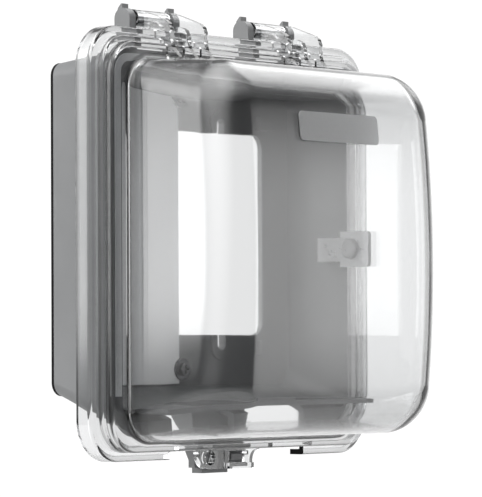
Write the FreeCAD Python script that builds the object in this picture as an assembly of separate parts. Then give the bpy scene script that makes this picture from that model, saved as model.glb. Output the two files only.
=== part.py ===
import FreeCAD, Part
import os
from math import cos, radians, sin
from FreeCAD import Vector as V

os.makedirs("parts", exist_ok=True)

# Frame: X to the right, -Y out of the wall, Z up.
# The origin is on the wall face, half way across the cover, level with the device screws' mid line.

# ---- wall gasket ----
GASKET_T = 1.2
GASKET_OPEN_HW = 51.0
GASKET_OPEN_HH = 48.0

# ---- base moulding, back and front outlines ----
BACK_Y = -GASKET_T
RIM_Y = -31.2
BACK_HW = 67.1
BACK_TOP = 59.7
BACK_BOT = -60.1
RIM_HW = 69.4
RIM_TOP = 63.1
RIM_BOT = -72.2
BACK_R = 5.0
RIM_R = 8.0
PLATE_T = 2.2
PLATE_Y = BACK_Y - PLATE_T
WELL_BACK_HW = 60.8
WELL_BACK_TOP = 55.0
WELL_BACK_BOT = -57.3
WELL_RIM_HW = 64.6
WELL_RIM_TOP = 55.9
WELL_RIM_BOT = -69.8

# ---- rim seal ----
SEAL_HW = 68.4
SEAL_TOP = 61.4
SEAL_BOT = -60.0
SEAL_W = 2.8
SEAL_DEPTH = 4.0
SEAL_PROUD = 0.6

# ---- device opening for two gangs ----
GANG_PITCH = 46.04
SCREW_SPACING = 83.34
OPEN_HW = 45.2
OPEN_HH = 38.1
OPEN_R = 5.0
SLOT_W = 4.0

# ---- clear cover ----
WALL = 2.0
SKIRT_BACK_Y = -22.1
SKIRT_FRONT_Y = -28.6
SKIRT_HW = 77.8
SKIRT_TOP = 71.4
SKIRT_BOT = -83.2
SKIRT_R = 15.0
STEP_1_IN = 3.3
STEP_1_Y = -31.2
STEP_2_IN = 5.5
FLANGE_Y = -34.2
LOWER_EDGE = -80.0
ROOT_R = 2.4
DOME_HW = 63.2
DOME_TOP = 59.8
DOME_BOT = -76.0
DOME_DRAFT = 1.6
DOME_ROOT_CORNER = 10.0
DOME_FRONT_CORNER = 17.0
DOME_FRONT_Y = -80.8
DOME_EDGE_R = 14.0
CROWN_R = 470.0
CROWN_Z = -11.0
INNER_R_LOSS = 0.74

# ---- hinge ----
AXIS_Y = -16.5
AXIS_Z = 76.0
HINGE_X = 33.0
BLOCK_HW = 10.2
BARREL_R = 3.6
PIN_R = 1.5
BORE_R = 1.57
LUG_T = 3.3
LUG_GAP = 0.6
LUG_R = 3.7
WEB_T = 2.0

# ---- latch and padlock hasp ----
NOTCH_X0 = -35.5
NOTCH_X1 = 40.0
HASP_Y0 = -24.6
HASP_T = 3.0
HASP_HW = 14.9
HASP_BOT = -87.4
PADLOCK_R = 2.8
PADLOCK_X = -8.8
PADLOCK_Z = -83.2
LATCH_X0 = -0.9
SWEEP_R = 4.0
WINDOW_X0 = 1.8
WINDOW_X1 = 12.6
WINDOW_Z0 = -85.2
WINDOW_Z1 = -80.9

# ---- cord exits ----
CORD_X = 20.0
CORD_HW = 16.4
RIM_LIP_BOT = -74.6
RIM_LIP_Y = -28.4

# ---- fittings inside the well ----
BLANK_T = 1.6
BLANK_SINK = 1.2
BLANK_EDGE_X = -1.4
SCREW_X = 0.0
SCREW_Z = 50.9
BOSS_R = 3.0
BLANK_HW = 59.6
BLANK_TOP = 54.2
BLANK_BOT = -56.4
BLANK_FRONT_Y = PLATE_Y + BLANK_SINK - BLANK_T
TAB_X = 60.2
TAB_T = 1.8
TAB_FRONT_Y = -44.6
STUD_Y = -36.2
STUD_Z = -5.6
SHELF_Z = -64.7
SHELF_T = 1.7
SHELF_FRONT_Y = -48.0
SHELF_NOSE_HW = 57.0
SHELF_LIP_HW = 10.8
SHELF_LIP_TOP = -62.4


def save(shape, name):
    shape.exportStep("parts/" + name + ".step")


def box(x0, x1, y0, y1, z0, z1):
    return Part.makeBox(x1 - x0, y1 - y0, z1 - z0, V(x0, y0, z0))


def outline(hw, top, bot, r, y):
    """Rounded rectangle wire in the plane at y."""
    k = r * (1 - sin(radians(45)))
    line = lambda a, b: Part.makeLine(V(a[0], y, a[1]), V(b[0], y, b[1]))
    arc = lambda a, m, b: Part.Arc(V(a[0], y, a[1]), V(m[0], y, m[1]), V(b[0], y, b[1])).toShape()
    edges = [
        line((-hw + r, top), (hw - r, top)),
        arc((hw - r, top), (hw - k, top - k), (hw, top - r)),
        line((hw, top - r), (hw, bot + r)),
        arc((hw, bot + r), (hw - k, bot + k), (hw - r, bot)),
        line((hw - r, bot), (-hw + r, bot)),
        arc((-hw + r, bot), (-hw + k, bot + k), (-hw, bot + r)),
        line((-hw, bot + r), (-hw, top - r)),
        arc((-hw, top - r), (-hw + k, top - k), (-hw + r, top)),
    ]
    return Part.Wire(edges)


def slab(hw, top, bot, r, y_back, y_front):
    """Straight-sided rounded block from y_back out to y_front."""
    face = Part.Face(outline(hw, top, bot, r, y_back))
    return face.extrude(V(0, y_front - y_back, 0))


def taper(back, front):
    """Rounded block whose outline changes evenly from back to front."""
    return Part.makeLoft([outline(*back), outline(*front)], True, True)


def prism(points, x0, x1):
    """Extrude a closed (y, z) outline along X."""
    wire = Part.makePolygon([V(x0, y, z) for y, z in points + points[:1]])
    return Part.Face(wire).extrude(V(x1 - x0, 0, 0))


def rod(x0, x1, r, y, z):
    return Part.makeCylinder(r, x1 - x0, V(x0, y, z), V(1, 0, 0))


def stud(r, y0, y1, x, z):
    """Round post along Y between y0 and y1."""
    return Part.makeCylinder(r, y1 - y0, V(x, y0, z), V(0, 1, 0))


def fuse(shapes):
    out = shapes[0]
    for s in shapes[1:]:
        out = out.fuse(s)
    return out.removeSplitter()


def one(shape):
    """The single solid inside a boolean result."""
    return max(shape.Solids, key=lambda s: s.Volume)


def base_outer():
    back = (BACK_HW, BACK_TOP, BACK_BOT, BACK_R, BACK_Y)
    rim = (RIM_HW, RIM_TOP, RIM_BOT, RIM_R, RIM_Y)
    return taper(back, rim)


def wall_gasket():
    ring = slab(BACK_HW, BACK_TOP, BACK_BOT, BACK_R, 0.0, BACK_Y)
    ring = ring.cut(slab(GASKET_OPEN_HW, GASKET_OPEN_HH, -GASKET_OPEN_HH, 8.0, 1.0, BACK_Y - 1.0))
    save(ring, "wall_gasket")


def seal_track(y0, y1):
    """Inverted U track in the rim: over the top and down both sides."""
    ring = slab(SEAL_HW, SEAL_TOP, -90.0, 7.0, y0, y1)
    ring = ring.cut(slab(SEAL_HW - SEAL_W, SEAL_TOP - SEAL_W, -95.0, 4.2, y0 + 1.0, y1 - 1.0))
    return ring.common(box(-80, 80, y1, y0, SEAL_BOT, 80))


def screw_slots():
    """Four slots that open into the device opening, one pair per gang."""
    cuts = []
    for x in (-GANG_PITCH / 2, GANG_PITCH / 2):
        for s in (-1, 1):
            z = s * SCREW_SPACING / 2
            lo, hi = sorted((s * (OPEN_HH - 1.0), z))
            cuts.append(box(x - SLOT_W / 2, x + SLOT_W / 2, -9.0, 1.0, lo, hi))
            cuts.append(stud(SLOT_W / 2, -9.0, 1.0, x, z))
    return cuts


def slot_bosses():
    """Raised oval pad round each screw slot."""
    pads = []
    for x in (-GANG_PITCH / 2, GANG_PITCH / 2):
        for s in (-1, 1):
            z = s * (SCREW_SPACING / 2 + 1.2)
            lo, hi = sorted((s * OPEN_HH, z))
            pads.append(box(x - 4.6, x + 4.6, PLATE_Y - 0.8, PLATE_Y + 0.2, lo, hi))
            pads.append(stud(4.6, PLATE_Y - 0.8, PLATE_Y + 0.2, x, z))
    return pads


def cord_notches(z_lo, z_hi, y_front, y_end):
    """U notches for two cords, open to the front, rounded at the wall end."""
    cuts = []
    for x in (-CORD_X, CORD_X):
        cuts.append(box(x - CORD_HW, x + CORD_HW, y_front, y_end - 4.0, z_lo, z_hi))
        cuts.append(box(x - CORD_HW + 4.0, x + CORD_HW - 4.0, y_front, y_end, z_lo, z_hi))
        for s in (-1, 1):
            foot = V(x + s * (CORD_HW - 4.0), y_end - 4.0, z_lo)
            cuts.append(Part.makeCylinder(4.0, z_hi - z_lo, foot, V(0, 0, 1)))
    return cuts


def base_walls():
    """The tray: outer block less the well."""
    well_back = (WELL_BACK_HW, WELL_BACK_TOP, WELL_BACK_BOT, 8.0, PLATE_Y)
    well_rim = (WELL_RIM_HW, WELL_RIM_TOP, WELL_RIM_BOT, 8.0, RIM_Y)
    return base_outer().cut(taper(well_back, well_rim))


def base_housing():
    lip = slab(RIM_HW - 2.0, -40.0, RIM_LIP_BOT, 12.0, RIM_LIP_Y, RIM_Y)
    lip = lip.common(box(-80, 80, RIM_Y, RIM_LIP_Y, RIM_LIP_BOT, WELL_RIM_BOT - 0.8))
    body = base_walls()
    pads = [lip] + slot_bosses()
    pads += [box(41.5, 48.5, PLATE_Y - 2.4, PLATE_Y + 0.2, s * 42.8 - 2.8, s * 42.8 + 2.8) for s in (-1, 1)]
    body = fuse([body] + pads)
    body = body.cut(slab(OPEN_HW, OPEN_HH, -OPEN_HH, OPEN_R, 1.0, -9.0))
    body = body.cut(blank_outline(0.2, PLATE_Y + BLANK_SINK, PLATE_Y - 3.0))
    bosses = [stud(BOSS_R, BLANK_FRONT_Y, PLATE_Y + BLANK_SINK + 0.2, SCREW_X, s * SCREW_Z) for s in (-1, 1)]
    body = fuse([body] + bosses)
    body = body.cut(seal_track(RIM_Y + SEAL_DEPTH, RIM_Y - 1.0))
    for cut in screw_slots() + cord_notches(-80.0, -61.0, RIM_Y - 1.0, -22.5):
        body = body.cut(cut)
    for s in (-1, 1):
        body = body.cut(stud(1.2, -12.0, BACK_Y - 0.6, SCREW_X, s * SCREW_Z))
    save(one(body), "base_housing")


def rim_seal():
    save(one(seal_track(RIM_Y + SEAL_DEPTH, RIM_Y - SEAL_PROUD)), "rim_seal")


def blank_outline(gap, y0, y1):
    """Left half of the well floor, grown by gap; straight edge on the right."""
    body = slab(BLANK_HW + gap, BLANK_TOP + gap, BLANK_BOT - gap, 5.0, y0, y1)
    return body.cut(box(BLANK_EDGE_X + gap, 80, -20, 20, -80, 80))


def blank_insert():
    plate = blank_outline(0.0, PLATE_Y + BLANK_SINK, BLANK_FRONT_Y)
    for s in (-1, 1):
        plate = plate.cut(stud(BOSS_R + 0.3, -20.0, 5.0, SCREW_X, s * SCREW_Z))
    save(one(plate), "blank_insert")


def insert_screws():
    screws = []
    for s in (-1, 1):
        face = BLANK_FRONT_Y
        z = s * SCREW_Z
        washer = stud(4.2, face - 0.7, face, SCREW_X, z)
        head = stud(2.4, face - 2.1, face - 0.7, SCREW_X, z)
        shank = stud(1.2, face - 1.0, BACK_Y - 0.7, SCREW_X, z)
        body = fuse([washer, head, shank])
        for w, h in ((3.2, 0.7), (0.7, 3.2)):
            cross = box(SCREW_X - w / 2, SCREW_X + w / 2, face - 3.0, face - 1.2, z - h / 2, z + h / 2)
            body = body.cut(cross)
        screws.append(body)
    save(Part.makeCompound(screws), "insert_screws")


def cord_shelf():
    floor_y = PLATE_Y + (SHELF_Z - SHELF_T - WELL_BACK_BOT) * (RIM_Y - PLATE_Y) / (WELL_RIM_BOT - WELL_BACK_BOT)
    plate = box(-62.7, 62.7, RIM_Y, floor_y, SHELF_Z - SHELF_T, SHELF_Z)
    apron = box(-SHELF_NOSE_HW, SHELF_NOSE_HW, SHELF_FRONT_Y, RIM_Y + 0.5, SHELF_Z - SHELF_T, SHELF_Z)
    lip = box(-SHELF_LIP_HW, SHELF_LIP_HW, SHELF_FRONT_Y, SHELF_FRONT_Y + 1.8, SHELF_Z - 1.0, SHELF_LIP_TOP)
    ribs = [box(x - 0.9, x + 0.9, -31.5, -27.5, -68.2, SHELF_Z - 1.0) for x in (-41.0, 0.0, 41.0)]
    shelf = fuse([plate, apron, lip] + ribs)
    for cut in cord_notches(-70.0, -60.0, SHELF_FRONT_Y + 3.0, -25.5):
        shelf = shelf.cut(cut)
    save(one(shelf.cut(base_walls())), "cord_shelf")


def side_tab():
    plate = box(TAB_X - TAB_T, TAB_X, TAB_FRONT_Y, -31.0, -12.5, 1.0)
    arm = box(TAB_X - TAB_T, TAB_X, -31.5, -20.0, -10.2, -1.2)
    pad = box(TAB_X - 0.4, 68.0, -30.4, -21.0, -10.2, -1.2)
    tab = one(fuse([plate, arm, pad]).cut(base_walls()))
    corners = [e for e in tab.Edges if is_along(e, V(1, 0, 0)) and e.BoundBox.YMax < TAB_FRONT_Y + 0.5]
    tab = tab.makeFillet(1.5, corners)
    save(one(tab.cut(rod(50.0, 66.0, 1.2, STUD_Y, STUD_Z))), "side_tab")


def is_along(edge, axis):
    return len(edge.Vertexes) == 2 and edge.Curve.TypeId == "Part::GeomLine" and \
        edge.tangentAt(edge.FirstParameter).cross(axis).Length < 1e-6


def tab_rivet():
    inner = TAB_X - TAB_T
    head = rod(inner - 1.6, inner, 3.9, STUD_Y, STUD_Z)
    head = head.makeFillet(0.8, [e for e in head.Edges if e.BoundBox.XMax < inner - 1.5])
    save(fuse([head, rod(inner - 0.2, TAB_X, 1.2, STUD_Y, STUD_Z)]), "tab_rivet")


def lug(x0):
    """Hinge lug: straight post, round eye and a small tooth on top."""
    post = box(x0, x0 + LUG_T, AXIS_Y - LUG_R, AXIS_Y + LUG_R, 58.0, AXIS_Z)
    eye = rod(x0, x0 + LUG_T, LUG_R, AXIS_Y, AXIS_Z)
    tooth = prism([(-16.6, 76.0), (-16.6, 81.3), (-16.0, 81.3), (-14.4, 79.6), (-14.4, 76.0)], x0, x0 + LUG_T)
    return fuse([post, eye, tooth])


def hinge_bracket(side, name):
    cx = side * HINGE_X
    left = cx - BLOCK_HW - LUG_GAP - LUG_T
    right = cx + BLOCK_HW + LUG_GAP
    foot = box(left - 1.5, right + LUG_T + 1.5, -20.6, -10.5, 58.0, 64.6)
    body = fuse([foot, lug(left), lug(right)])
    body = body.cut(rod(left + 1.0, right + LUG_T + 1.0, PIN_R, AXIS_Y, AXIS_Z))
    body = body.cut(base_outer())
    save(one(body), name)


def hinge_pin(side, name):
    cx = side * HINGE_X
    x0 = cx - BLOCK_HW - LUG_GAP - LUG_T + 1.0
    x1 = cx + BLOCK_HW + LUG_GAP + LUG_T
    pin = rod(x0, x1, PIN_R, AXIS_Y, AXIS_Z)
    ends = [e for e in pin.Edges if e.Curve.TypeId == "Part::GeomCircle"]
    save(pin.makeChamfer(0.3, ends), name)


def dome(off, back_y):
    """Bubble shape; off is the inward offset, back_y where it starts. Its corners widen towards the front."""
    far = DOME_FRONT_Y - 8.0
    loss = INNER_R_LOSS if off else 0.0
    ends = []
    for y in (back_y, far):
        d = DOME_DRAFT * (FLANGE_Y - y) / (FLANGE_Y - DOME_FRONT_Y) + off
        t = (FLANGE_Y - y) / (FLANGE_Y - DOME_FRONT_Y - DOME_EDGE_R)
        r = DOME_ROOT_CORNER + (DOME_FRONT_CORNER - DOME_ROOT_CORNER) * t - loss
        ends.append((DOME_HW - d, DOME_TOP - d, DOME_BOT + d, r, y))
    body = taper(*ends)
    crown = rod(-100.0, 100.0, CROWN_R, DOME_FRONT_Y + off + CROWN_R, CROWN_Z)
    body = one(body.common(crown))
    cap = min(body.Faces, key=lambda f: f.CenterOfMass.y)
    return one(body.makeFillet(DOME_EDGE_R - loss, cap.Edges))


def flat_at(edge, y):
    bounds = edge.BoundBox
    return abs(bounds.YMin - y) < 1e-4 and abs(bounds.YMax - y) < 1e-4


def tier(step, low, y_front, off, edge_r):
    """One step of the flange: a slab from the skirt's back edge to y_front, softened at the front."""
    back = -10.0 if off else SKIRT_BACK_Y
    r = SKIRT_R - step * 0.5 - off
    body = slab(SKIRT_HW - step - off, SKIRT_TOP - step - off, low + off, r, back, y_front + off)
    return body.makeFillet(edge_r, [e for e in body.Edges if flat_at(e, y_front + off)])


def flange(off, edge_r):
    tiers = [tier(0.0, SKIRT_BOT, SKIRT_FRONT_Y, off, edge_r)]
    tiers.append(tier(STEP_1_IN, LOWER_EDGE, STEP_1_Y, off, edge_r))
    tiers.append(tier(STEP_2_IN, LOWER_EDGE, FLANGE_Y, off, edge_r))
    return tiers


def root_flare(off):
    """Concave sweep where the bubble grows out of the flange."""
    rings = []
    for i in range(5):
        a = radians(90.0 * i / 4)
        grow = ROOT_R * (1 - sin(a)) - off
        y = FLANGE_Y - ROOT_R * (1 - cos(a)) + off
        rings.append(outline(DOME_HW + grow, DOME_TOP + grow, DOME_BOT - grow, DOME_ROOT_CORNER + grow, y))
    return Part.makeLoft(rings, True, True)


def cover_outer():
    return fuse(flange(0.0, 1.0) + [root_flare(0.0), dome(0.0, -30.0)])


def cover_inner():
    return fuse(flange(WALL, 0.4) + [dome(WALL, -30.0)])


def cover_shell():
    shell = cover_outer().cut(cover_inner())
    shell = shell.cut(box(NOTCH_X0, NOTCH_X1, -40.0, -10.0, -90.0, LOWER_EDGE))
    for cut in cord_exits():
        shell = shell.cut(cut)
    save(one(shell), "cover_shell")


def cord_exits():
    """Two cord gaps in the lower wall of the cover."""
    cuts = []
    for x0, x1 in ((NOTCH_X0, -HASP_HW - 2.0), (HASP_HW + 2.0, NOTCH_X1)):
        cuts.append(box(x0, x1, STEP_1_Y, -10.0, -81.0, -77.0))
    return cuts


def knuckle(side, name):
    """Three upright webs joined by the barrel; the middle web is lower."""
    cx = side * HINGE_X
    x0, x1 = cx - BLOCK_HW, cx + BLOCK_HW
    front = [(-36.4, 66.8), (-37.0, 64.6), (-40.4, 60.8), (-40.4, 57.0), (-20.0, 57.0), (-16.5, 72.6)]
    tall = [(-17.6, 79.4), (-22.8, 78.5), (-33.8, 74.4), (-35.6, 73.0), (-36.4, 71.0)] + front
    low = [(-17.6, 76.5), (-22.0, 75.0), (-24.2, 73.2), (-33.0, 72.4), (-35.2, 71.4), (-36.4, 69.0)] + front
    webs = [prism(tall, x0, x0 + WEB_T), prism(tall, x1 - WEB_T, x1), prism(low, cx - WEB_T / 2, cx + WEB_T / 2)]
    body = fuse(webs + [rod(x0, x1, BARREL_R, AXIS_Y, AXIS_Z)])
    body = body.cut(rod(x0 - 1, x1 + 1, BORE_R, AXIS_Y, AXIS_Z))
    body = body.cut(box(x0 - 1, x1 + 1, SKIRT_BACK_Y, -5.0, 50.0, AXIS_Z - BARREL_R))
    body = body.cut(cover_outer()).cut(cover_inner())
    save(one(body), name)


def cover_hasp():
    plate = box(-HASP_HW, LATCH_X0 - 0.4, HASP_Y0, HASP_Y0 + HASP_T, HASP_BOT, -80.0)
    edges = [e for e in plate.Edges if is_along(e, V(0, 1, 0)) and e.BoundBox.ZMax < -87.0]
    outer = [e for e in edges if e.BoundBox.XMax < -14.0]
    plate = plate.makeFillet(6.0, outer)
    body = plate.cut(stud(PADLOCK_R, -30.0, -15.0, PADLOCK_X, PADLOCK_Z))
    save(one(body), "cover_hasp")


def cover_latch():
    plate = box(LATCH_X0, HASP_HW, HASP_Y0, HASP_Y0 + HASP_T, HASP_BOT, -80.2)
    edges = [e for e in plate.Edges if is_along(e, V(0, 1, 0)) and e.BoundBox.ZMax < -87.0]
    plate = plate.makeFillet(0.8, edges)
    body = plate.cut(box(WINDOW_X0, WINDOW_X1, -30.0, -15.0, WINDOW_Z0, WINDOW_Z1))
    grip = box(LATCH_X0 + 1.0, HASP_HW - 1.0, HASP_Y0 - 1.6, HASP_Y0, HASP_BOT, HASP_BOT + 2.0)
    sweep = box(HASP_HW - 0.5, HASP_HW + SWEEP_R, HASP_Y0, HASP_Y0 + HASP_T, -80.2 - SWEEP_R, -80.2)
    sweep = sweep.cut(stud(SWEEP_R, -30.0, -15.0, HASP_HW + SWEEP_R, -80.6 - SWEEP_R))
    save(one(fuse([body, grip, one(sweep)])), "cover_latch")


def base_hasp():
    y0 = HASP_Y0 + HASP_T + 0.5
    plate = box(-13.6, 13.4, y0, y0 + 3.0, -86.8, -64.0)
    ledge = box(-9.4, 4.8, y0, y0 + 5.0, -88.9, -86.8)
    catch = box(WINDOW_X0 + 0.7, WINDOW_X1 - 3.6, HASP_Y0 - 0.4, y0, WINDOW_Z0 + 0.8, WINDOW_Z1 - 0.8)
    nose = [e for e in catch.Edges if is_along(e, V(1, 0, 0)) and e.BoundBox.YMax < HASP_Y0]
    catch = catch.makeFillet(0.8, nose)
    web = [prism([(y0 + 3.0, -84.0), (y0 + 3.0, -64.0), (-8.0, -60.0), (-8.0, -64.5)], x, x + 1.8) for x in (-13.6, 11.6)]
    body = fuse([plate, ledge, catch] + web)
    body = body.cut(stud(PADLOCK_R, -30.0, -10.0, PADLOCK_X, PADLOCK_Z))
    body = body.cut(base_outer())
    save(one(body), "base_hasp")


def dome_plaque():
    pad = slab(22.2, 40.8, 30.3, 1.8, -70.0, -90.0)
    skin = rod(-100.0, 100.0, CROWN_R, DOME_FRONT_Y + CROWN_R - 0.6, CROWN_Z)
    save(one(pad.common(skin).cut(cover_outer()).cut(cover_inner())), "dome_plaque")


def build():
    wall_gasket()
    base_housing()
    rim_seal()
    blank_insert()
    insert_screws()
    cord_shelf()
    side_tab()
    tab_rivet()
    for side, word in ((-1, "left"), (1, "right")):
        hinge_bracket(side, "hinge_bracket_" + word)
        hinge_pin(side, "hinge_pin_" + word)
        knuckle(side, "knuckle_" + word)
    base_hasp()
    cover_shell()
    cover_hasp()
    cover_latch()
    dome_plaque()


build()
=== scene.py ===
import math

import bmesh
import bpy
from mathutils import Matrix, Vector


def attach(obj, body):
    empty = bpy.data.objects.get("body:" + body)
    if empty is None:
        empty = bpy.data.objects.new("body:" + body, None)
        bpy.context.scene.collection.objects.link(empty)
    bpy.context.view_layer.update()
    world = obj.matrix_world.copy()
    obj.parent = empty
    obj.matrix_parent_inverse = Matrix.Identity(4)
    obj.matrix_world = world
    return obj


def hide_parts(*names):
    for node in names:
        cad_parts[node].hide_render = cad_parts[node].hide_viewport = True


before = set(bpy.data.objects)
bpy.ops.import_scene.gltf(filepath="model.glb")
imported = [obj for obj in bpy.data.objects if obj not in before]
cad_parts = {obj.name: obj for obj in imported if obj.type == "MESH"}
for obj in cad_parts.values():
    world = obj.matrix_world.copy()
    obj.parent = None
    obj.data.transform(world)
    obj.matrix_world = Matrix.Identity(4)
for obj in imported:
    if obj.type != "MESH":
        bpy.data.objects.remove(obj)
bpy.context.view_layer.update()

# ---------------------------------------------------------------- camera
# One long lens, low and to the left, looking slightly up. Angles in degrees, lengths in metres.
VIEW_YAW = 49.68
VIEW_PITCH = 1.76
VIEW_ROLL = -0.28
VIEW_DISTANCE = 1.23943
VIEW_RIGHT = -0.00256
VIEW_UP = -0.04881
LENS_MM = 3372.31 * 36.0 / 497.0
TARGET = Vector((0.0, -0.0286, -0.0553))


def make_camera():
    a, b = math.radians(VIEW_YAW), math.radians(VIEW_PITCH)
    forward = Vector((math.sin(a) * math.cos(b), math.cos(a) * math.cos(b), math.sin(b)))
    right0 = Vector((math.cos(a), -math.sin(a), 0.0))
    up0 = right0.cross(forward)
    r = math.radians(VIEW_ROLL)
    right = right0 * math.cos(r) + up0 * math.sin(r)
    up = up0 * math.cos(r) - right0 * math.sin(r)
    data = bpy.data.cameras.new("view_camera")
    data.lens = LENS_MM
    data.sensor_width = 36.0
    data.clip_start, data.clip_end = 0.05, 60.0
    cam = bpy.data.objects.new("view_camera", data)
    bpy.context.scene.collection.objects.link(cam)
    cam.matrix_world = Matrix((
        (right.x, up.x, -forward.x, 0), (right.y, up.y, -forward.y, 0),
        (right.z, up.z, -forward.z, 0), (0, 0, 0, 1)))
    cam.location = TARGET - forward * VIEW_DISTANCE - right * VIEW_RIGHT - up * VIEW_UP
    bpy.context.scene.camera = cam


# ---------------------------------------------------------------- studio
BACKDROP = (0.7624, 0.6471, 0.0)
FLOOR_Z = -0.9


def direction(azimuth, elevation):
    """Unit vector towards a light; azimuth 0 is in front of the cover, 90 is on its right."""
    a, e = math.radians(azimuth), math.radians(elevation)
    return (math.sin(a) * math.cos(e), -math.cos(a) * math.cos(e), math.sin(e))


SIDE_LIGHT = direction(230, 16)
SILL = (-0.014, 0.017)


def make_world():
    """Pale studio: bright behind the object, dim on the camera's side, with soft patches as soft boxes."""
    world = bpy.data.worlds.new("studio")
    bpy.context.scene.world = world
    world.use_nodes = True
    nt = world.node_tree
    nt.nodes.clear()
    out = nt.nodes.new("ShaderNodeOutputWorld")
    bg = nt.nodes.new("ShaderNodeBackground")
    nt.links.new(bg.outputs[0], out.inputs[0])
    coord = nt.nodes.new("ShaderNodeTexCoord")

    def combine(operation, first, second):
        n = nt.nodes.new("ShaderNodeMath")
        n.operation = operation
        nt.links.new(first, n.inputs[0])
        nt.links.new(second, n.inputs[1])
        return n.outputs[0]

    height = nt.nodes.new("ShaderNodeSeparateXYZ")
    nt.links.new(coord.outputs["Generated"], height.inputs[0])
    sill = nt.nodes.new("ShaderNodeMapRange")
    sill.interpolation_type = "SMOOTHSTEP"
    sill.inputs["From Min"].default_value, sill.inputs["From Max"].default_value = SILL
    nt.links.new(height.outputs["Z"], sill.inputs["Value"])
    total = None
    patches = [
        # towards, cosine at the edge and at the core, strength at the edge and at the core
        # the second one is the large side light, cut off level with the object's foot
        (BACKDROP, 0.80, 0.955, 0.15, 1.06),
        (SIDE_LIGHT, 0.89, 0.96, 0.0, 3.3),
        (direction(285, 50), 0.45, 0.98, 0.0, 3.2),
        (direction(30, 68), 0.70, 0.99, 0.0, 1.2),
        (direction(92, 40), 0.90, 0.985, 0.0, 2.4),
        (direction(0, 88), 0.72, 0.96, 0.0, 0.9),
        (direction(51, 1), 0.972, 0.998, 0.0, 1.8),
        (direction(84, 5), 0.80, 0.97, 0.0, 0.7),
    ]
    for towards, edge, core, low, high in patches:
        dot = nt.nodes.new("ShaderNodeVectorMath")
        dot.operation = "DOT_PRODUCT"
        dot.inputs[1].default_value = Vector(towards).normalized()
        nt.links.new(coord.outputs["Generated"], dot.inputs[0])
        ramp = nt.nodes.new("ShaderNodeMapRange")
        ramp.interpolation_type = "SMOOTHSTEP"
        ramp.inputs["From Min"].default_value = edge
        ramp.inputs["From Max"].default_value = core
        ramp.inputs["To Min"].default_value = low
        ramp.inputs["To Max"].default_value = high
        nt.links.new(dot.outputs["Value"], ramp.inputs["Value"])
        light = ramp.outputs[0]
        if towards == SIDE_LIGHT:
            light = combine("MULTIPLY", light, sill.outputs[0])
        total = combine("ADD", total, light) if total else light
    nt.links.new(total, bg.inputs["Strength"])
    bg.inputs["Color"].default_value = (1.0, 1.0, 1.0, 1.0)


def make_floor():
    bpy.ops.mesh.primitive_circle_add(vertices=96, radius=4.0, fill_type="NGON", location=(0, 0, FLOOR_Z))
    floor = bpy.context.active_object
    floor.name = "studio_floor"
    mat = bpy.data.materials.new("floor")
    mat.use_nodes = True
    mat.node_tree.nodes["Principled BSDF"].inputs["Base Color"].default_value = (0.42, 0.42, 0.42, 1)
    mat.node_tree.nodes["Principled BSDF"].inputs["Roughness"].default_value = 0.9
    floor.data.materials.append(mat)


# ---------------------------------------------------------------- materials
class Surface:
    """A Principled material with small helpers for procedural detail in object space."""

    def __init__(self, name):
        self.mat = bpy.data.materials.new(name)
        self.mat.use_nodes = True
        self.nt = self.mat.node_tree
        self.bsdf = self.nt.nodes["Principled BSDF"]
        self.coord = self.nt.nodes.new("ShaderNodeTexCoord").outputs["Object"]

    def put(self, **values):
        for key, value in values.items():
            self.bsdf.inputs[key.replace("_", " ")].default_value = value

    def node(self, kind, **inputs):
        n = self.nt.nodes.new(kind)
        for key, value in inputs.items():
            socket = n.inputs[key.replace("_", " ")]
            if isinstance(value, bpy.types.NodeSocket):
                self.nt.links.new(value, socket)
            else:
                socket.default_value = value
        return n

    def noise(self, scale, detail=3.0, rough=0.55, stretch=None):
        vec = self.coord
        if stretch:
            vec = self.node("ShaderNodeMapping", Vector=self.coord, Scale=stretch).outputs[0]
        n = self.node("ShaderNodeTexNoise", Vector=vec, Scale=scale, Detail=detail, Roughness=rough)
        return n.outputs["Fac"]

    def spread(self, source, low, high, start=0.3, end=0.7):
        n = self.node("ShaderNodeMapRange", Value=source)
        for key, value in (("From Min", start), ("From Max", end), ("To Min", low), ("To Max", high)):
            n.inputs[key].default_value = value
        return n.outputs[0]

    def colours(self, source, first, second, start=0.3, end=0.7):
        ramp = self.nt.nodes.new("ShaderNodeValToRGB")
        ramp.color_ramp.elements[0].position, ramp.color_ramp.elements[1].position = start, end
        ramp.color_ramp.elements[0].color, ramp.color_ramp.elements[1].color = (*first, 1), (*second, 1)
        self.nt.links.new(source, ramp.inputs[0])
        self.nt.links.new(ramp.outputs[0], self.bsdf.inputs["Base Color"])

    def roughness(self, source, low, high, start=0.3, end=0.7):
        self.nt.links.new(self.spread(source, low, high, start, end), self.bsdf.inputs["Roughness"])

    def bump(self, source, strength, distance, previous=None):
        n = self.node("ShaderNodeBump", Height=source)
        n.inputs["Strength"].default_value = strength
        n.inputs["Distance"].default_value = distance
        if previous:
            self.nt.links.new(previous, n.inputs["Normal"])
        self.nt.links.new(n.outputs[0], self.bsdf.inputs["Normal"])
        return n.outputs[0]


def moulded_grey(name, dark, light, rough=(0.36, 0.5)):
    s = Surface(name)
    s.colours(s.noise(28.0, 4.0), dark, light)
    s.roughness(s.noise(160.0, 3.0), *rough)
    first = s.bump(s.noise(2600.0, 2.0, 0.6), 0.12, 0.00008)
    s.bump(s.noise(24.0, 1.5), 0.10, 0.0004, first)
    s.put(Specular_IOR_Level=0.5)
    return s.mat


RIM_DEPTH = (-0.040, -0.020)
RIM_ROUGHNESS = 0.045
# Depth in millimetres and painted shade. The side wall of each step is painted darker than its front face,
# standing in for the dark lines that refraction draws at thick clear edges.
RIM_PAINTED_SHADES = ((-33.9, 0.80), (-33.7, 0.30), (-32.7, 0.30), (-32.5, 0.78), (-30.9, 0.78),
              (-30.7, 0.34), (-29.8, 0.34), (-29.6, 0.80), (-28.3, 0.84), (-27.0, 0.95))


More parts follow.
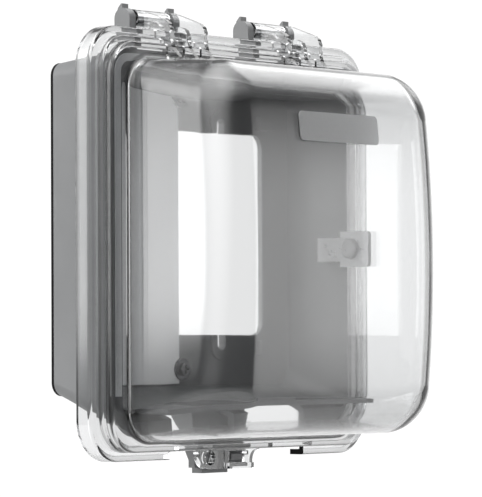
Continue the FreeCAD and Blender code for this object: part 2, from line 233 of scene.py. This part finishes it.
def rim_stop(mm):
    """Place on the cover's colour ramp for a depth in millimetres."""
    return (mm * 0.001 - RIM_DEPTH[0]) / (RIM_DEPTH[1] - RIM_DEPTH[0])


def clear_plastic(name, tint, haze, rim=None, rough=(0.015, 0.04), wave=0.05):
    """Clear moulding with a little grey in its depth; haze is what it absorbs per metre.
    With rim, the colour follows the depth as painted shade: the flange's step walls are coloured dark so that
    the steps show as dark lines, where refraction alone draws softer ones."""
    s = Surface(name)
    grey = s.node("ShaderNodeVolumeAbsorption", Color=(0.0, 0.0, 0.0, 1.0), Density=haze)
    s.nt.links.new(grey.outputs[0], s.nt.nodes["Material Output"].inputs["Volume"])
    if rim:
        y = s.node("ShaderNodeSeparateXYZ", Vector=s.coord).outputs["Y"]
        depth = s.spread(y, 0.0, 1.0, *RIM_DEPTH)
        s.colours(depth, tint, rim, 0.0, 1.0)
        stops = s.bsdf.inputs["Base Color"].links[0].from_node.color_ramp.elements
        stops[0].position, stops[1].position = rim_stop(-36.8), rim_stop(-34.4)
        # painted shade: dark colour stops on the flange's step walls, placed by depth
        for mm, shade in RIM_PAINTED_SHADES:
            stops.new(rim_stop(mm)).color = (shade, shade * 1.006, shade * 1.012, 1.0)
        s.roughness(s.noise(40.0), rough[0], RIM_ROUGHNESS)
    else:
        s.colours(s.noise(9.0, 2.0), tint, tuple(min(1.0, c + 0.01) for c in tint))
        s.roughness(s.noise(60.0, 3.0), *rough)
    s.put(Transmission_Weight=1.0, IOR=1.585)
    s.bump(s.noise(34.0, 1.0), wave, 0.0006)
    return s.mat


def frosted_plastic(name, tint, rough, grain, clear=0.85):
    s = Surface(name)
    s.colours(s.noise(900.0, 3.0), tint, tuple(min(1.0, c + 0.03) for c in tint))
    s.roughness(s.noise(400.0, 3.0), *rough)
    s.put(Transmission_Weight=clear, IOR=1.5)
    s.bump(s.noise(grain, 3.0, 0.7), 0.35, 0.00008)
    return s.mat


def foam(name):
    s = Surface(name)
    s.colours(s.noise(1400.0, 4.0, 0.7), (0.003, 0.003, 0.003), (0.009, 0.009, 0.01))
    s.put(Roughness=0.95, Specular_IOR_Level=0.15)
    s.bump(s.noise(2200.0, 4.0, 0.75), 0.7, 0.0003)
    return s.mat


def soft_seal(name):
    s = Surface(name)
    s.colours(s.noise(60.0, 3.0), (0.66, 0.67, 0.68), (0.78, 0.79, 0.8))
    s.roughness(s.noise(300.0, 3.0), 0.55, 0.75)
    s.bump(s.noise(1300.0, 3.0), 0.2, 0.0001)
    return s.mat


def drawn_metal(name, dark, light, rough, stretch, grain=900.0):
    s = Surface(name)
    s.colours(s.noise(grain, 3.0, 0.6, stretch), dark, light)
    s.roughness(s.noise(grain * 0.6, 3.0, 0.6, stretch), *rough)
    s.put(Metallic=1.0)
    s.bump(s.noise(grain * 2.0, 2.0, 0.6, stretch), 0.12, 0.00005)
    return s.mat


def dress(mat, *nodes):
    for name in nodes:
        obj = bpy.data.objects[name]
        if not obj.material_slots:
            obj.data.materials.append(mat)
        for slot in obj.material_slots:
            slot.material = mat


def dress_all():
    grey = moulded_grey("grey_moulding", (0.128, 0.131, 0.133), (0.148, 0.151, 0.153))
    blank = moulded_grey("blank_moulding", (0.78, 0.785, 0.79), (0.83, 0.835, 0.84))
    clear = clear_plastic("clear_polycarbonate", (0.92, 0.926, 0.93), 55.0)
    dress(grey, "base_housing", "hinge_bracket_left", "hinge_bracket_right", "base_hasp", "cord_shelf")
    dress(blank, "blank_insert")
    dress(clear, "knuckle_left", "knuckle_right", "cover_hasp", "cover_latch")
    # the cover's flange gets painted shade on its step walls, by depth
    make_cover(clear_plastic("clear_lid", (0.92, 0.926, 0.93), 55.0, (0.78, 0.785, 0.79)))
    dress(frosted_plastic("frosted_pad", (0.62, 0.625, 0.63), (0.28, 0.4), 2400.0), "dome_plaque")
    milky = frosted_plastic("milky_tab", (0.74, 0.745, 0.75), (0.26, 0.36), 700.0, 0.75)
    dress(milky, "side_tab", "tab_rivet")
    dress(foam("closed_cell_foam"), "wall_gasket")
    dress(soft_seal("rim_seal_rubber"), "rim_seal")
    dress(drawn_metal("drawn_steel", (0.5, 0.5, 0.51), (0.72, 0.72, 0.73), (0.2, 0.36), (0.06, 1, 1)),
          "hinge_pin_left", "hinge_pin_right")
    dress(drawn_metal("dark_plated_screw", (0.05, 0.05, 0.052), (0.12, 0.12, 0.125), (0.3, 0.5), (1, 1, 1)),
          "insert_screws")


# ---------------------------------------------------------------- clear cover
# Dimensions in millimetres, the same as the CAD cover's.
MM = 0.001
WALL = 2.0
SKIRT = (77.8, 71.4, -83.2, 15.0)
SKIRT_BACK, SKIRT_FRONT = -22.1, -28.6
STEPS = ((3.3, -31.2), (5.5, -34.2))
LOWER_EDGE = -80.0
DOME = (63.2, 59.8, -76.0)
DOME_CORNERS = (10.0, 17.0)
FLANGE_FRONT = -34.2
DOME_FRONT = -80.8
DOME_DRAFT = 1.6
DOME_EDGE_R = 14.0
ROOT_R = 2.4
CROWN_R = 470.0
CROWN_Z = -11.0
INNER_R_LOSS = 0.74
EDGE_R = 1.0
NOTCH = (-35.5, 40.0)
CORD_GAPS = ((-35.5, -16.9), (16.9, 40.0))
STRAIGHT_CUTS, ARC_CUTS = 20, 18


def crown(z):
    """Front face of the bubble at height z: it bows vertically only."""
    return DOME_FRONT + CROWN_R - math.sqrt(CROWN_R ** 2 - (z - CROWN_Z) ** 2)


def ring(hw, top, bot, r):
    """Points round a rounded rectangle, always the same number, from the middle of the top."""
    pts = []
    corners = ((hw - r, top - r, 90), (hw - r, bot + r, 0), (-hw + r, bot + r, -90), (-hw + r, top - r, -180))
    for i, (cx, cz, start) in enumerate(corners):
        for k in range(ARC_CUTS):
            a = math.radians(start - 90.0 * k / ARC_CUTS)
            pts.append((cx + r * math.cos(a), cz + r * math.sin(a)))
        end = math.radians(start - 90.0)
        x0, z0 = cx + r * math.cos(end), cz + r * math.sin(end)
        nx, nz, begin = corners[(i + 1) % 4]
        a = math.radians(begin)
        x1, z1 = nx + r * math.cos(a), nz + r * math.sin(a)
        for k in range(STRAIGHT_CUTS):
            t = k / STRAIGHT_CUTS
            pts.append((x0 + (x1 - x0) * t, z0 + (z1 - z0) * t))
    return pts


def tier_rings(inset, low, y_back, y_front, off, edge_r):
    """Side wall and rounded front edge of one step of the flange."""
    hw, top, _, r = SKIRT
    hw, top, bot, r = hw - inset - off, top - inset - off, low + off, r - inset * 0.5 - off
    rings = [[(x, y_back, z) for x, z in ring(hw, top, bot, r)]]
    for k in range(5):
        a = math.radians(22.5 * k)
        d = edge_r * (1 - math.cos(a))
        y = y_front + off + edge_r * (1 - math.sin(a))
        rings.append([(x, y, z) for x, z in ring(hw - d, top - d, bot + d, r - d)])
    return rings


def dome_rings(off, y_start):
    """Side wall, rolled edge and crowned front of the bubble. Its corners widen towards the front."""
    hw, top, bot = DOME
    loss = INNER_R_LOSS if off else 0.0
    edge_r = DOME_EDGE_R - loss
    y_edge = DOME_FRONT + off + edge_r
    root_corner, front_corner = (r - loss for r in DOME_CORNERS)
    rings = []
    for k in range(9):
        t = k / 8.0
        y = y_start + (y_edge - y_start) * t
        d = DOME_DRAFT * (FLANGE_FRONT - y) / (FLANGE_FRONT - DOME_FRONT) + off
        reach = (FLANGE_FRONT - y) / (FLANGE_FRONT - DOME_FRONT - DOME_EDGE_R)
        side = ring(hw - d, top - d, bot + d, root_corner + (front_corner - root_corner) * reach)
        rings.append([(x, y + t * t * (crown(z) - DOME_FRONT), z) for x, z in side])
    for k in range(1, 17):
        a = math.radians(90.0 * k / 16)
        inset = edge_r * (1 - math.cos(a))
        pts = ring(hw - d - inset, top - d - inset, bot + d + inset, front_corner - inset)
        rings.append([(x, crown(z) + off + edge_r * (1 - math.sin(a)), z) for x, z in pts])
    mid = (top + bot) / 2
    rim = rings[-1]
    for k in range(1, 16):
        t = 1.0 - k / 16.0
        pts = [(x * t, mid + (z - mid) * t) for x, _, z in rim]
        rings.append([(x, crown(z) + off, z) for x, z in pts])
    return rings


def flange_rings(off, edge_r):
    rings = tier_rings(0.0, SKIRT[2], SKIRT_BACK, SKIRT_FRONT, off, edge_r)
    y_back = SKIRT_FRONT + off
    for inset, y_front in STEPS:
        rings += tier_rings(inset, LOWER_EDGE, y_back, y_front, off, edge_r)
        y_back = y_front + off
    return rings


def root_rings():
    """Concave sweep from the flange into the bubble."""
    hw, top, bot = DOME
    rings = []
    for k in range(7):
        a = math.radians(15.0 * k)
        g = ROOT_R * (1 - math.sin(a))
        y = FLANGE_FRONT - ROOT_R * (1 - math.cos(a))
        rings.append([(x, y, z) for x, z in ring(hw + g, top + g, bot - g, DOME_CORNERS[0] + g)])
    return rings


def skin(bm, rings):
    """Quads between neighbouring rings and a fan on the last one; returns the first ring's vertices."""
    loops = [[bm.verts.new(Vector(p) * MM) for p in pts] for pts in rings]
    n = len(loops[0])
    for a, b in zip(loops, loops[1:]):
        for i in range(n):
            bm.faces.new((a[i], a[(i + 1) % n], b[(i + 1) % n], b[i]))
    last = loops[-1]
    centre = bm.verts.new(sum((v.co for v in last), Vector()) / n)
    for i in range(n):
        bm.faces.new((last[i], last[(i + 1) % n], centre))
    return loops[0]


def block(name, x0, x1, y0, y1, z0, z1):
    bm = bmesh.new()
    bmesh.ops.create_cube(bm, size=1.0)
    size, mid = Vector((x1 - x0, y1 - y0, z1 - z0)), Vector((x0 + x1, y0 + y1, z0 + z1)) / 2
    for v in bm.verts:
        v.co = Vector(c * s for c, s in zip(v.co, size)) * MM + mid * MM
    return object_from(bm, name)


def object_from(bm, name):
    bmesh.ops.recalc_face_normals(bm, faces=bm.faces)
    mesh = bpy.data.meshes.new(name)
    bm.to_mesh(mesh)
    bm.free()
    obj = bpy.data.objects.new(name, mesh)
    bpy.context.scene.collection.objects.link(obj)
    return obj


def carve(obj, cutters):
    """Cut blocks out of a closed piece and keep the result as its mesh."""
    for cutter in cutters:
        mod = obj.modifiers.new(cutter.name, "BOOLEAN")
        mod.operation, mod.solver, mod.object = "DIFFERENCE", "EXACT", cutter
    shape = obj.evaluated_get(bpy.context.evaluated_depsgraph_get())
    mesh = bpy.data.meshes.new_from_object(shape)
    obj.modifiers.clear()
    obj.data = mesh
    for cutter in cutters:
        bpy.data.objects.remove(cutter, do_unlink=True)


def smooth(obj, degrees):
    for poly in obj.data.polygons:
        poly.use_smooth = True
    obj.data.set_sharp_from_angle(angle=math.radians(degrees))


def make_cover(mat):
    bm = bmesh.new()
    outer = skin(bm, flange_rings(0.0, EDGE_R) + root_rings() + dome_rings(0.0, FLANGE_FRONT - ROOT_R)[1:])
    inner = skin(bm, flange_rings(WALL, 0.4) + dome_rings(WALL, FLANGE_FRONT + WALL))
    n = len(outer)
    for i in range(n):
        bm.faces.new((outer[i], outer[(i + 1) % n], inner[(i + 1) % n], inner[i]))
    cover = object_from(bm, "clear_cover")
    cutters = [block("notch", NOTCH[0], NOTCH[1], -40, -10, -90, LOWER_EDGE)]
    cutters += [block("cord_gap", x0, x1, STEPS[0][1], -10, -81, -77) for x0, x1 in CORD_GAPS]
    carve(cover, cutters)
    smooth(cover, 32)
    cover.data.materials.clear()
    cover.data.materials.append(mat)
    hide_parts("cover_shell")
    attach(cover, "cover")


make_camera()
make_world()
make_floor()
dress_all()
bpy.context.scene.view_settings.view_transform = "Standard"
